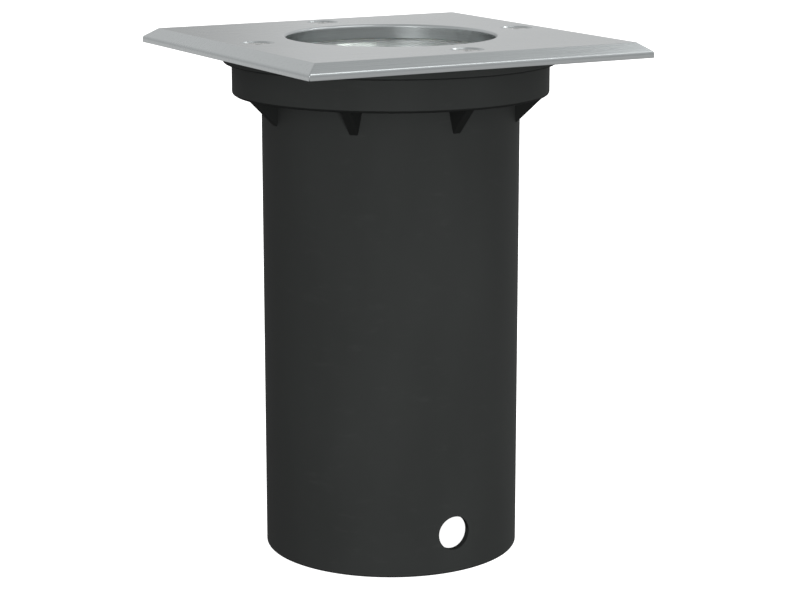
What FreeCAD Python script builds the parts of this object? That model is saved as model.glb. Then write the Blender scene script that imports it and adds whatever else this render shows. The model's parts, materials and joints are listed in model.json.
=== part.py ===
import FreeCAD, Part
import math
import os

# An outdoor ground light: a square steel cover plate on a black sleeve that is set in the ground.
# Lengths are in millimetres. The origin is the middle of the sleeve's foot, +Z is up, X and Y run
# along the plate's edges, and the cable hole faces -Y.

# Clearances
body_gap = 0.2
slip = 0.05
overrun = 1.0
tiny = 1e-7

# Bulb
bulb_radius = 25.0
bulb_length = 47.0
bulb_drop = 2.9
bulb_rim_height = 7.9
bulb_shoulder_round = 4.0
bulb_neck_radius = 13.2
bulb_wall = 1.3
bulb_lens_thickness = 1.8
bulb_lens_crown = 0.5
board_thickness = 1.5
board_drop = 4.0
board_ledge = 2.0
chip_count = 6
chip_circle = 12.0
chip_side = 3.5
chip_thickness = 0.7
base_flange_thickness = 2.0
base_spigot_length = 3.0
base_radius = 8.8
base_height = 5.1
pin_place = 5.0
pin_radius = 1.6
pin_length = 7.0
pin_head_radius = 2.5
pin_head_height = 1.5
pin_seat = 3.5

# Lamp housing
can_reach = 6.6
housing_wall = 2.6
housing_floor_thickness = 2.5
housing_round = 2.0
seat_width = 2.8
rim_wall = 3.9
rim_drop = 1.0
housing_flange_reach = 5.2
housing_flange_thickness = 2.5
housing_flange_play = 0.5
scallop_play = 0.5
post_inset = 3.1
post_radius = 3.5
post_height = 24.1

# Glass and seals
glass_play = 0.4
glass_thickness = 8.0
glass_chamfer = 0.6
glass_lap = 3.3
glass_gasket_thickness = 0.9
glass_gasket_width = 2.5
cover_gasket_thickness = 0.5
cover_gasket_width = 2.4
cover_rebate_depth = 0.3

# Reflector ring
ring_lip_thickness = 0.8
ring_lip_width = 1.1
ring_depth = 5.1
ring_wall = 0.9
ring_play = 1.1
ring_crest_width = 0.3

# Mounting sleeve: a straight tube in a moulded collar
sleeve_height = 149.0
sleeve_play = 1.72
sleeve_wall = 2.0
sleeve_round = 0.5
collar_wall = 2.5
collar_height = 9.4
collar_round = 0.8
collar_lip = 1.0
flange_reach = 2.5
flange_thickness = 2.8
flange_round = 0.4
cup_floor_thickness = 2.0
boss_radius = 4.0
boss_bore_depth = 9.6
fin_count = 8
fin_thickness = 2.4
fin_height = 7.4
fin_inset = 1.0
cable_hole_radius = 5.0
cable_hole_level = 12.0

# Cover plate
plate_side = 110.0
plate_thickness = 4.3
plate_edge = 1.7
plate_wall = 1.6
bevel_run = 3.7
bevel_round = 0.25
opening_round = 0.9
plate_pad_margin = 1.0

# Cover screws
screw_count = 4
screw_inset = 0.8
screw_radius = 2.0
screw_length = 11.5
screw_head_radius = 4.4
screw_sink = 0.4
screw_socket_flats = 2.5
screw_socket_depth = 1.7
screw_point = 0.6

# Lamp holder
holder_radius = 15.0
holder_height = 18.0
holder_chamfer = 1.0
holder_slot_depth = 7.5
holder_neck_depth = 2.5
holder_play = 0.3
contact_thickness = 0.4
unlock_angle = 25.0
holder_screw_place = 10.5
holder_screw_radius = 1.45
holder_screw_length = 16.0
holder_screw_head_radius = 2.8
holder_screw_head_height = 1.3
holder_screw_sink = 1.5

# Bracket
strap_width = 16.0
strap_thickness = 1.2
strap_play = 0.6
tab_foot = 1.3
bend_round = 1.0
bracket_screw_radius = 1.2
bracket_screw_length = 9.0
bracket_screw_head_radius = 2.4
bracket_screw_head_height = 1.7
small_slot_width = 0.7
small_slot_depth = 0.8

# Terminal block
pole_count = 3
pole_pitch = 9.0
block_play = 0.53
block_depth = 12.0
block_height = 13.0
block_foot = 2.0
block_margin = 3.5
block_chamfer = 0.5
clamp_radius = 2.35
clamp_bore_radius = 1.3
clamp_inset = 0.5
terminal_screw_radius = 1.2
terminal_screw_head_radius = 1.9
terminal_screw_head_height = 1.2
terminal_screw_share = 0.25
block_screw_radius = 1.25
block_screw_head_radius = 2.2
block_screw_head_height = 1.4
block_screw_tail = 2.0

# Leads and earth point
lead_radius = 1.0
lead_gap = 1.0
lead_insert = 2.5
lead_end_run = 2.0
lead_bend_radius = 3.8
earth_tag_width = 6.0
earth_tag_length = 8.0
earth_tag_thickness = 1.0
earth_screw_inset = 3.0
earth_screw_length = 5.0
earth_screw_head_radius = 2.0

# Cable gland
gland_thread_radius = 8.0
gland_upper_length = 8.0
gland_hex_flats = 19.0
gland_hex_height = 5.0
gland_lower_radius = 7.5
gland_lower_length = 7.6
gland_bore_radius = 4.6
gland_seal_seat_radius = 5.5
gland_seat_depth = 9.0
gland_round = 0.6
o_ring_thickness = 1.4
o_ring_width = 2.2
locknut_height = 4.0
seal_bore_radius = 3.5
seal_foot = 2.2
nut_flats = 18.0
nut_height = 9.5
nut_dome_height = 3.5
nut_dome_run = 2.2
nut_gap = 1.6
nut_mouth_radius = 4.4

# Radii, worked outwards from the bulb
can_bore = bulb_radius + can_reach
housing_radius = can_bore + housing_wall
ring_step_radius = can_bore + ring_lip_width
seat_radius = can_bore + seat_width
glass_radius = seat_radius - glass_play
opening_radius = glass_radius - glass_lap
rim_radius = seat_radius + rim_wall
housing_flange_radius = rim_radius + housing_flange_reach
cup_radius = housing_flange_radius + housing_flange_play
collar_radius = cup_radius + collar_wall
flange_radius = collar_radius + flange_reach
plate_pad_radius = flange_radius + plate_pad_margin
screw_place = cup_radius - screw_inset
sleeve_bore = housing_radius + sleeve_play
sleeve_radius = sleeve_bore + sleeve_wall
socket_radius = sleeve_radius + slip

# Levels, worked down from the top of the sleeve
plate_bottom = sleeve_height + body_gap
plate_top = plate_bottom + plate_thickness
bevel_foot = plate_bottom + plate_edge
head_top = plate_top - screw_sink
head_foot = head_top - screw_head_radius + screw_radius
glass_top = plate_bottom + cover_rebate_depth - cover_gasket_thickness
glass_bottom = glass_top - glass_thickness
gasket_top = glass_bottom - body_gap
seat_level = gasket_top - glass_gasket_thickness
rim_top = glass_top - rim_drop
flange_bottom = sleeve_height - flange_thickness
collar_bottom = flange_bottom - collar_height
cup_floor = collar_bottom + cup_floor_thickness
tube_top = cup_floor - collar_lip
can_flange_bottom = cup_floor + body_gap
can_flange_top = can_flange_bottom + housing_flange_thickness
ring_step = seat_level - ring_lip_thickness
bulb_top = seat_level - bulb_drop
bulb_shoulder = bulb_top - bulb_rim_height
base_bottom = bulb_top - bulb_length
base_top = base_bottom + base_height
bulb_bottom = base_top + base_flange_thickness
holder_top = base_bottom - body_gap
cap_bottom = holder_top - holder_neck_depth
slot_floor = holder_top - holder_slot_depth
strap_top = holder_top - holder_height
strap_bottom = strap_top - strap_thickness
can_floor = strap_bottom - post_height
housing_bottom = can_floor - housing_floor_thickness
gland_hex_top = housing_bottom - o_ring_thickness
gland_hex_bottom = gland_hex_top - gland_hex_height
gland_bottom = gland_hex_bottom - gland_lower_length
nut_top = gland_hex_bottom - nut_gap
nut_bottom = nut_top - nut_height
seal_bottom = nut_bottom + seal_foot

# Places inside the housing
slot_radius = pin_head_radius + holder_play
post_place = can_bore - post_inset
strap_reach = can_bore - strap_play
lead_start = strap_width / 2 + lead_radius + lead_gap
arm_width = 2 * (pole_pitch - lead_radius - lead_gap)
block_front = gland_hex_flats / math.sqrt(3) + block_play
block_back = block_front + block_depth
block_middle = block_front + block_depth / 2
block_bottom = can_floor + block_foot
block_top = block_bottom + block_height
block_center_level = block_bottom + block_height / 2
earth_screw_place = block_back - earth_screw_inset

up = FreeCAD.Vector(0, 0, 1)


def at(x, y, z):
    return FreeCAD.Vector(x, y, z)


def save(name, *solids):
    shape = solids[0] if len(solids) == 1 else Part.makeCompound(list(solids))
    shape.exportStep("parts/" + name + ".step")
    print(name, len(shape.Solids), round(shape.Volume, 1), "valid" if shape.isValid() else "NOT VALID")


def corner_arc(before, corner, after, radius):
    # the arc of that radius that touches both runs at a corner
    back = (before - corner).normalize()
    on = (after - corner).normalize()
    half = math.acos(back.dot(on)) / 2
    middle = (back + on).normalize()
    centre = corner + middle * (radius / math.sin(half))
    reach = radius / math.tan(half)
    return corner + back * reach, centre - middle * radius, corner + on * reach


def path(points, closed):
    # points are (place, radius): straight runs, with an arc at each corner that has a radius
    count = len(points)
    edges = []
    last = None
    first = None
    for index, (place, radius) in enumerate(points):
        inner = closed or 0 < index < count - 1
        if radius and inner:
            before = points[index - 1][0]
            after = points[(index + 1) % count][0]
            start, middle, end = corner_arc(before, place, after, radius)
        else:
            start, middle, end = place, None, place
        if last is not None and last.distanceToPoint(start) > tiny:
            edges.append(Part.LineSegment(last, start).toShape())
        if middle is not None:
            edges.append(Part.Arc(start, middle, end).toShape())
        if first is None:
            first = start
        last = end
    if closed and last.distanceToPoint(first) > tiny:
        edges.append(Part.LineSegment(last, first).toShape())
    return Part.Wire(edges)


def turned(*outline):
    # outline points are (radius, level) or (radius, level, corner radius), turned round Z
    points = [(at(p[0], 0, p[1]), p[2] if len(p) > 2 else 0) for p in outline]
    return Part.Face(path(points, True)).revolve(at(0, 0, 0), up, 360)


def rod(radius, bottom, top, x=0, y=0):
    return Part.makeCylinder(radius, top - bottom, at(x, y, bottom), up)


def ring(outer, inner, bottom, top):
    return turned((inner, bottom), (outer, bottom), (outer, top), (inner, top))


def block(x_low, x_high, y_low, y_high, bottom, top):
    return Part.makeBox(x_high - x_low, y_high - y_low, top - bottom, at(x_low, y_low, bottom))


def hexagon(flats, bottom, top, x=0, y=0):
    corner = flats / math.sqrt(3)
    places = [
        at(x + corner * math.cos(math.radians(60 * k)), y + corner * math.sin(math.radians(60 * k)), bottom)
        for k in range(7)
    ]
    return Part.Face(Part.makePolygon(places)).extrude(up * (top - bottom))


def spun(shape, angle):
    copy = shape.copy()
    copy.rotate(at(0, 0, 0), up, angle)
    return copy


def lying(shape, x, y, z):
    # a shape drawn up the Z axis, laid so that its top points along -Y and its origin is at x, y, z
    copy = shape.copy()
    copy.rotate(at(0, 0, 0), at(1, 0, 0), 90)
    copy.translate(at(x, y, z))
    return copy


def moved(shape, x, y, z):
    copy = shape.copy()
    copy.translate(at(x, y, z))
    return copy


def square_loft(*layers):
    # layers are (half side, level)
    wires = [
        Part.makePolygon([at(-h, -h, z), at(h, -h, z), at(h, h, z), at(-h, h, z), at(-h, -h, z)])
        for h, z in layers
    ]
    return Part.makeLoft(wires, True, True)


def joined(*solids):
    return solids[0].fuse(list(solids[1:])).removeSplitter()


def cover_plate():
    half = plate_side / 2
    flat_half = half - bevel_run
    slope_rise = plate_top - bevel_foot
    slope = math.hypot(bevel_run, slope_rise)
    body = joined(
        block(-half, half, -half, half, plate_bottom, bevel_foot),
        square_loft((half, bevel_foot), (flat_half, plate_top)),
    )

    # the hollow under the sloped edge, with the same wall all round
    hollow_top = plate_top - plate_wall
    hollow_half = half - plate_wall
    wall_line = bevel_foot - plate_wall * slope / bevel_run
    hollow_foot = wall_line + (half - hollow_half) * slope_rise / bevel_run
    hollow_flat = half - (hollow_top - wall_line) * bevel_run / slope_rise
    hollow = square_loft((hollow_half, hollow_foot), (hollow_flat, hollow_top))
    hollow = hollow.fuse(block(-hollow_half, hollow_half, -hollow_half, hollow_half,
                               plate_bottom - overrun, hollow_foot))
    hollow = hollow.cut(rod(plate_pad_radius, plate_bottom - overrun, plate_top))
    body = body.cut(hollow)

    # rounded edges of the slope
    edges = []
    for edge in body.Edges:
        box = edge.BoundBox
        level = box.ZLength < slip
        outer = max(abs(box.XMin), abs(box.XMax), abs(box.YMin), abs(box.YMax)) > flat_half - slip
        if level and outer and box.ZMin > bevel_foot - slip and edge.Length > flat_half:
            edges.append(edge)
    body = body.makeFillet(bevel_round, edges)

    lip_radius = opening_radius + opening_round
    body = body.cut(turned(
        (0, plate_bottom - overrun),
        (opening_radius, plate_bottom - overrun),
        (opening_radius, plate_top, opening_round),
        (lip_radius, plate_top),
        (lip_radius, plate_top + overrun),
        (0, plate_top + overrun),
    ))
    rebate_top = plate_bottom + cover_rebate_depth
    body = body.cut(ring(glass_radius + glass_play, glass_radius - cover_gasket_width - slip,
                         plate_bottom - overrun, rebate_top))
    sink = Part.makeCone(screw_radius + slip, screw_head_radius + screw_sink + slip,
                         plate_top - head_foot, at(screw_place, 0, head_foot), up)
    sink = sink.fuse(rod(screw_radius + slip, plate_bottom - overrun, plate_top, screw_place))
    for k in range(screw_count):
        body = body.cut(spun(sink, 360 / screw_count * k))
    return body


def cover_screws():
    tip = head_top - screw_length
    screw = turned(
        (0, tip),
        (screw_radius - screw_point, tip),
        (screw_radius, tip + screw_point),
        (screw_radius, head_foot),
        (screw_head_radius, head_top),
        (0, head_top),
    )
    screw = screw.cut(hexagon(screw_socket_flats, head_top - screw_socket_depth, plate_top))
    screw = moved(screw, screw_place, 0, 0)
    return [spun(screw, 360 / screw_count * k) for k in range(screw_count)]


def sleeve_tube():
    body = turned(
        (sleeve_bore, 0, sleeve_round),
        (sleeve_radius, 0, sleeve_round),
        (sleeve_radius, tube_top),
        (sleeve_bore, tube_top),
    )

    # cable hole through the wall on the -Y side
    hole = Part.makeCylinder(cable_hole_radius, 2 * (sleeve_wall + overrun),
                             at(0, -sleeve_radius - overrun, cable_hole_level), at(0, 1, 0))
    return body.cut(hole)


def sleeve_collar():
    body = turned(
        (socket_radius, collar_bottom),
        (collar_radius, collar_bottom, collar_round),
        (collar_radius, flange_bottom),
        (flange_radius, flange_bottom, flange_round),
        (flange_radius, sleeve_height, flange_round),
        (cup_radius, sleeve_height, flange_round),
        (cup_radius, cup_floor),
        (sleeve_bore, cup_floor, sleeve_round),
        (sleeve_bore, tube_top),
        (socket_radius, tube_top),
    )

    # screw bosses in the cup, merged with the wall
    boss = rod(boss_radius, cup_floor - cup_floor_thickness / 2, sleeve_height, screw_place)
    boss = boss.common(rod(collar_radius, 0, sleeve_height))
    bore = rod(screw_radius + slip, sleeve_height - boss_bore_depth, sleeve_height + overrun, screw_place)
    for k in range(screw_count):
        body = body.fuse(spun(boss, 360 / screw_count * k))
    for k in range(screw_count):
        body = body.cut(spun(bore, 360 / screw_count * k))

    # fins under the collar, against the tube
    side = -fin_thickness / 2
    root = collar_bottom + cup_floor_thickness / 2
    outline = [
        at(socket_radius, side, root),
        at(collar_radius - fin_inset, side, root),
        at(collar_radius - fin_inset, side, collar_bottom),
        at(socket_radius, side, collar_bottom - fin_height),
    ]
    fin = Part.Face(Part.makePolygon(outline + outline[:1])).extrude(at(0, fin_thickness, 0))
    for k in range(fin_count):
        body = body.fuse(spun(fin, 360 / fin_count * k))
    return body.removeSplitter()


def glass_lens():
    return turned(
        (0, glass_bottom),
        (glass_radius - glass_chamfer, glass_bottom),
        (glass_radius, glass_bottom + glass_chamfer),
        (glass_radius, glass_top - glass_chamfer),
        (glass_radius - glass_chamfer, glass_top),
        (0, glass_top),
    )


def lamp_housing():
    body = turned(
        (0, housing_bottom),
        (housing_radius, housing_bottom, housing_round),
        (housing_radius, can_flange_bottom),
        (housing_flange_radius, can_flange_bottom),
        (housing_flange_radius, can_flange_top, housing_flange_thickness / 4),
        (rim_radius, can_flange_top),
        (rim_radius, rim_top),
        (seat_radius, rim_top),
        (seat_radius, seat_level),
        (ring_step_radius, seat_level),
        (ring_step_radius, ring_step),
        (can_bore, ring_step),
        (can_bore, can_floor, housing_round),
        (0, can_floor),
    )
    scallop = rod(boss_radius + scallop_play, can_flange_bottom - overrun, rim_top + overrun, screw_place)
    for k in range(screw_count):
        body = body.cut(spun(scallop, 360 / screw_count * k))
    post = rod(post_radius, can_floor - housing_floor_thickness / 2, strap_bottom, post_place)
    bore = rod(bracket_screw_radius + slip, strap_top - bracket_screw_length - overrun,
               strap_bottom + overrun, post_place)
    for angle in (0, 180):
        body = body.fuse(spun(post, angle)).cut(spun(bore, angle))
    hole = rod(gland_thread_radius + slip, housing_bottom - overrun, can_floor + overrun)
    return body.cut(hole).removeSplitter()


def reflector_ring():
    # a funnel that hangs by its lip and rises inside the glass gasket
    foot = seat_level - ring_depth - ring_lip_thickness
    crest = gasket_top - slip
    neck = can_bore - 2 * slip
    return turned(
        (ring_step_radius - slip, seat_level),
        (ring_step_radius - slip, ring_step),
        (neck, ring_step),
        (bulb_radius + ring_play + ring_wall, foot),
        (bulb_radius + ring_play, foot),
        (neck - ring_crest_width, crest),
        (neck, crest),
        (neck, seat_level),
    )


def bulb_body():
    lens_seat = bulb_top - bulb_lens_thickness - bulb_lens_crown
    board_seat = bulb_top - board_drop - board_thickness
    inner = bulb_radius - bulb_wall
    return turned(
        (base_radius + bulb_wall, bulb_bottom),
        (bulb_neck_radius, bulb_bottom, bulb_wall / 2),
        (bulb_radius, bulb_shoulder, bulb_shoulder_round),
        (bulb_radius, bulb_top, bulb_wall / 3),
        (inner, bulb_top, bulb_wall / 3),
        (inner, lens_seat),
        (inner - bulb_wall / 2, lens_seat),
        (inner - bulb_wall / 2, board_seat),
        (inner - bulb_wall / 2 - board_ledge, board_seat),
        (base_radius + bulb_wall, bulb_bottom + bulb_wall),
    )


def bulb_lens():
    radius = bulb_radius - bulb_wall - slip
    bottom = bulb_top - bulb_lens_thickness - bulb_lens_crown
    side_top = bulb_top - bulb_lens_crown
    crown_radius = (radius ** 2 + bulb_lens_crown ** 2) / (2 * bulb_lens_crown)
    slab = rod(radius, bottom, bulb_top)
    ball = Part.makeSphere(crown_radius, at(0, 0, side_top + bulb_lens_crown - crown_radius))
    return slab.common(ball)


def led_board():
    bottom = bulb_top - board_drop - board_thickness
    return rod(bulb_radius - 1.5 * bulb_wall - slip, bottom, bottom + board_thickness)


def led_chips():
    bottom = bulb_top - board_drop
    half = chip_side / 2
    chip = block(chip_circle - half, chip_circle + half, -half, half, bottom, bottom + chip_thickness)
    return [spun(chip, 360 / chip_count * k) for k in range(chip_count)]


def bulb_base():
    body = turned(
        (0, base_bottom),
        (base_radius, base_bottom, bulb_wall / 2),
        (base_radius, base_top),
        (bulb_neck_radius, base_top, bulb_wall / 2),
        (bulb_neck_radius, bulb_bottom),
        (base_radius, bulb_bottom),
        (base_radius, bulb_bottom + base_spigot_length),
        (0, bulb_bottom + base_spigot_length),
    )
    pin_top = base_bottom + pin_seat
    for side in (-1, 1):
        body = body.cut(rod(pin_radius + slip, base_bottom - overrun, pin_top, 0, side * pin_place))
    return body


def bulb_pins():
    tip = base_bottom - pin_length
    pin = turned(
        (0, tip),
        (pin_head_radius, tip, pin_head_height / 4),
        (pin_head_radius, tip + pin_head_height),
        (pin_radius, tip + pin_head_height),
        (pin_radius, base_bottom + pin_seat),
        (0, base_bottom + pin_seat),
    )
    return [moved(pin, 0, side * pin_place, 0) for side in (-1, 1)]


def swept_slot(radius, bottom, top, angle):
    # a slot with round ends, from the pin's place at rest round to the angle
    start = rod(radius, bottom, top, 0, pin_place)
    band = Part.Face(path([
        (at(pin_place - radius, 0, bottom), 0),
        (at(pin_place + radius, 0, bottom), 0),
        (at(pin_place + radius, 0, top), 0),
        (at(pin_place - radius, 0, top), 0),
    ], True)).revolve(at(0, 0, 0), up, angle)
    return start.fuse([spun(start, angle), spun(band, 90)])


def lamp_holder():
    body = rod(holder_radius, strap_top, cap_bottom)
    slot = swept_slot(slot_radius, slot_floor, cap_bottom + overrun, unlock_angle)
    for angle in (0, 180):
        body = body.cut(spun(slot, angle))
        body = body.cut(spun(rod(holder_screw_radius + slip, strap_top - overrun, cap_bottom + overrun,
                                 holder_screw_place), angle))
    return body


def holder_cap():
    # the plate over the slots: it lets the pin heads in at one end and holds them at the other
    body = turned(
        (0, cap_bottom),
        (holder_radius, cap_bottom),
        (holder_radius, holder_top - holder_chamfer),
        (holder_radius - holder_chamfer, holder_top),
        (0, holder_top),
    )
    below = cap_bottom - overrun
    above = holder_top + overrun
    slot = swept_slot(pin_radius + holder_play, below, above, unlock_angle)
    slot = slot.fuse(spun(rod(slot_radius, below, above, 0, pin_place), unlock_angle))
    hole = rod(holder_screw_radius + slip, below, above, holder_screw_place)
    hole = hole.fuse(rod(holder_screw_head_radius + holder_play, holder_top - holder_screw_sink, above,
                         holder_screw_place))
    for angle in (0, 180):
        body = body.cut(spun(slot, angle)).cut(spun(hole, angle))
    return body


def holder_contacts():
    strip = swept_slot(slot_radius - holder_play, slot_floor, slot_floor + contact_thickness, unlock_angle)
    strip = strip.removeSplitter()
    return [spun(strip, angle) for angle in (0, 180)]


def slotted_screw(radius, length, head_radius, head_height):
    # head down to z 0, with the shank below it
    screw = turned(
        (0, -length),
        (radius - radius / 3, -length),
        (radius, -length + radius / 2),
        (radius, 0),
        (head_radius, 0),
        (head_radius, head_height, head_height / 3),
        (0, head_height),
    )
    half = small_slot_width / 2
    reach = head_radius + overrun
    slot_bottom = head_height - small_slot_depth
    return screw.cut(block(-reach, reach, -half, half, slot_bottom, head_height + overrun))


def holder_screws():
    screw = slotted_screw(holder_screw_radius, holder_screw_length, holder_screw_head_radius,
                          holder_screw_head_height)
    level = holder_top - holder_screw_sink
    return [moved(screw, side * holder_screw_place, 0, level) for side in (-1, 1)]


def bracket_screws():
    screw = slotted_screw(bracket_screw_radius, bracket_screw_length, bracket_screw_head_radius,
                          bracket_screw_head_height)
    return [moved(screw, side * post_place, 0, strap_top) for side in (-1, 1)]


def drilled(body, radius, bottom, top, x=0, y=0):
    # a round hole up through a piece that lies between the two levels
    return body.cut(rod(radius, bottom - overrun, top + overrun, x, y))


def bored(body, radius, front, depth, x, level):
    # a round hole that goes in from a piece's front, along +Y
    return body.cut(Part.makeCylinder(radius, depth + overrun, at(x, front - overrun, level), at(0, 1, 0)))


def holder_bracket():
    strap = block(-strap_reach, strap_reach, -strap_width / 2, strap_width / 2, strap_bottom, strap_top)
    strap = strap.common(rod(strap_reach, strap_bottom, strap_top))
    arm = block(-arm_width / 2, arm_width / 2, 0, block_back + strap_thickness, strap_bottom, strap_top)
    tab = block(-arm_width / 2, arm_width / 2, block_back, block_back + strap_thickness,
                block_bottom + tab_foot, strap_top)
    body = joined(strap, arm, tab)
    outer = [e for e in body.Edges
             if e.Length > arm_width - slip and e.BoundBox.ZLength < slip
             and abs(e.BoundBox.YMin - block_back - strap_thickness) < slip
             and abs(e.BoundBox.ZMin - strap_top) < slip]
    body = body.makeFillet(bend_round, outer)
    for side in (-1, 1):
        body = drilled(body, bracket_screw_radius + slip, strap_bottom, strap_top, side * post_place)
        body = drilled(body, holder_screw_radius + slip, strap_bottom, strap_top, side * holder_screw_place)
        body = bored(body, block_screw_radius + slip, block_back, strap_thickness + overrun,
                     side * pole_pitch / 2, block_center_level)
    return drilled(body, bracket_screw_radius + slip, strap_bottom, strap_top, 0, earth_screw_place)


def pole_places():
    return [pole_pitch * (k - (pole_count - 1) / 2) for k in range(pole_count)]


def terminal_levels():
    return [block_center_level + side * block_height * terminal_screw_share for side in (-1, 1)]


def terminal_block():
    half = pole_pitch * (pole_count - 1) / 2 + block_margin
    body = block(-half, half, block_front, block_back, block_bottom, block_top)
    body = body.makeChamfer(block_chamfer, [e for e in body.Edges if e.BoundBox.YMax < block_front + slip])
    for x in pole_places():
        body = drilled(body, clamp_radius + slip, block_bottom, block_top, x, block_middle)
        for level in terminal_levels():
            body = bored(body, terminal_screw_head_radius + 2 * slip, block_front,
                         block_depth / 2 - overrun, x, level)
    for side in (-1, 1):
        body = bored(body, block_screw_radius + slip, block_front, block_depth + overrun,
                     side * pole_pitch / 2, block_center_level)
    return body


def terminal_clamps():
    tubes = []
    for x in pole_places():
        tube = rod(clamp_radius, block_bottom + clamp_inset, block_top - clamp_inset, x, block_middle)
        tube = drilled(tube, clamp_bore_radius, block_bottom, block_top, x, block_middle)
        for level in terminal_levels():
            tube = bored(tube, terminal_screw_radius + slip, block_middle - clamp_radius, clamp_radius,
                         x, level)
        tubes.append(tube)
    return tubes


def terminal_screws():
    seat = block_middle - clamp_radius - terminal_screw_head_height / 4
    length = block_middle - lead_radius - slip - seat
    screw = slotted_screw(terminal_screw_radius, length, terminal_screw_head_radius,
                          terminal_screw_head_height)
    return [lying(screw, x, seat, level) for x in pole_places() for level in terminal_levels()]


def block_screws():
    length = block_depth + strap_thickness + block_screw_tail
    screw = slotted_screw(block_screw_radius, length, block_screw_head_radius, block_screw_head_height)
    return [lying(screw, side * pole_pitch / 2, block_front, block_center_level) for side in (-1, 1)]


def tube(points, radius):
    # straight runs joined by arcs of the lead's bend radius; prints volume over section times length
    route = path(points, False)
    start = points[0][0]
    along = (points[1][0] - start).normalize()
    circle = Part.Wire(Part.Circle(start, along, radius).toShape())
    solid = route.makePipeShell([circle], True, False)
    print("lead", round(solid.Volume / (math.pi * radius ** 2 * route.Length), 4), "bend", lead_bend_radius)
    return solid


def side_lead(x):
    # from the holder's underside, past the strap's edge, into the top of a clamp
    return tube([
        (at(x, lead_start, strap_top), 0),
        (at(x, lead_start, strap_top - lead_end_run - slip), lead_bend_radius),
        (at(x, block_middle, block_top + lead_end_run), lead_bend_radius),
        (at(x, block_middle, block_top - lead_insert), 0),
    ], lead_radius)


def lead_earth():
    return rod(lead_radius, block_top - lead_insert, strap_bottom - earth_tag_thickness, 0, block_middle)


def earth_tag():
    half = earth_tag_width / 2
    bottom = strap_bottom - earth_tag_thickness
    tag = block(-half, half, block_back - earth_tag_length, block_back - body_gap, bottom, strap_bottom)
    return drilled(tag, bracket_screw_radius + slip, bottom, strap_bottom, 0, earth_screw_place)


def earth_screw():
    screw = slotted_screw(bracket_screw_radius, earth_screw_length, earth_screw_head_radius,
                          bracket_screw_head_height)
    return moved(screw, 0, earth_screw_place, strap_top)


def gland_body():
    top = can_floor + gland_upper_length
    body = turned(
        (gland_seal_seat_radius, gland_bottom),
        (gland_lower_radius, gland_bottom, gland_round),
        (gland_lower_radius, gland_hex_top - gland_hex_height / 2),
        (gland_thread_radius, gland_hex_top - gland_hex_height / 2),
        (gland_thread_radius, top, gland_round),
        (gland_bore_radius, top, gland_round),
        (gland_bore_radius, gland_bottom + gland_seat_depth),
        (gland_seal_seat_radius, gland_bottom + gland_seat_depth),
    )
    collar = hexagon(gland_hex_flats, gland_hex_bottom, gland_hex_top)
    collar = drilled(collar, gland_lower_radius - gland_round, gland_hex_bottom, gland_hex_top)
    return joined(body, collar)


def gland_locknut():
    top = can_floor + locknut_height
    return drilled(hexagon(gland_hex_flats, can_floor, top), gland_thread_radius + slip, can_floor, top)


def gland_seal():
    top = gland_bottom + gland_seat_depth
    return ring(gland_seal_seat_radius - slip, seal_bore_radius, seal_bottom, top)


def gland_nut():
    dome_top = nut_bottom + nut_dome_height
    outer = hexagon(nut_flats, dome_top, nut_top)
    corner = nut_flats / 2
    dome = turned(
        (0, nut_bottom),
        (corner - nut_dome_run, nut_bottom, gland_round),
        (corner, dome_top),
        (0, dome_top),
    )
    body = joined(outer, dome)
    bore = turned(
        (0, nut_bottom - overrun),
        (nut_mouth_radius, nut_bottom - overrun),
        (nut_mouth_radius, seal_bottom),
        (gland_seal_seat_radius, seal_bottom),
        (gland_seal_seat_radius, gland_bottom - slip),
        (gland_lower_radius + slip, gland_bottom - slip),
        (gland_lower_radius + slip, nut_top + overrun),
        (0, nut_top + overrun),
    )
    return body.cut(bore)


os.makedirs("parts", exist_ok=True)
save("cover_plate", cover_plate())
save("cover_screws", *cover_screws())
save("sleeve_tube", sleeve_tube())
save("sleeve_collar", sleeve_collar())
save("glass_lens", glass_lens())
save("glass_gasket", ring(seat_radius - slip, seat_radius - glass_gasket_width, seat_level, gasket_top))
save("cover_gasket", ring(glass_radius, glass_radius - cover_gasket_width, glass_top,
                          plate_bottom + cover_rebate_depth))
save("lamp_housing", lamp_housing())
save("reflector_ring", reflector_ring())
save("bulb_body", bulb_body())
save("bulb_lens", bulb_lens())
save("led_board", led_board())
save("led_chips", *led_chips())
save("bulb_base", bulb_base())
save("bulb_pins", *bulb_pins())
save("lamp_holder", lamp_holder())
save("holder_cap", holder_cap())
save("holder_contacts", *holder_contacts())
save("holder_screws", *holder_screws())
save("holder_bracket", holder_bracket())
save("bracket_screws", *bracket_screws())
save("terminal_block", terminal_block())
save("terminal_clamps", *terminal_clamps())
save("terminal_screws", *terminal_screws())
save("block_screws", *block_screws())
save("lead_live", side_lead(pole_places()[0]))
save("lead_neutral", side_lead(pole_places()[-1]))
save("lead_earth", lead_earth())
save("earth_tag", earth_tag())
save("earth_screw", earth_screw())
save("gland_body", gland_body())
save("gland_o_ring", ring(gland_thread_radius + o_ring_width, gland_thread_radius + slip,
                          gland_hex_top, housing_bottom))
save("gland_locknut", gland_locknut())
save("gland_seal", gland_seal())
save("gland_nut", gland_nut())
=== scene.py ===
import json
import math

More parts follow.
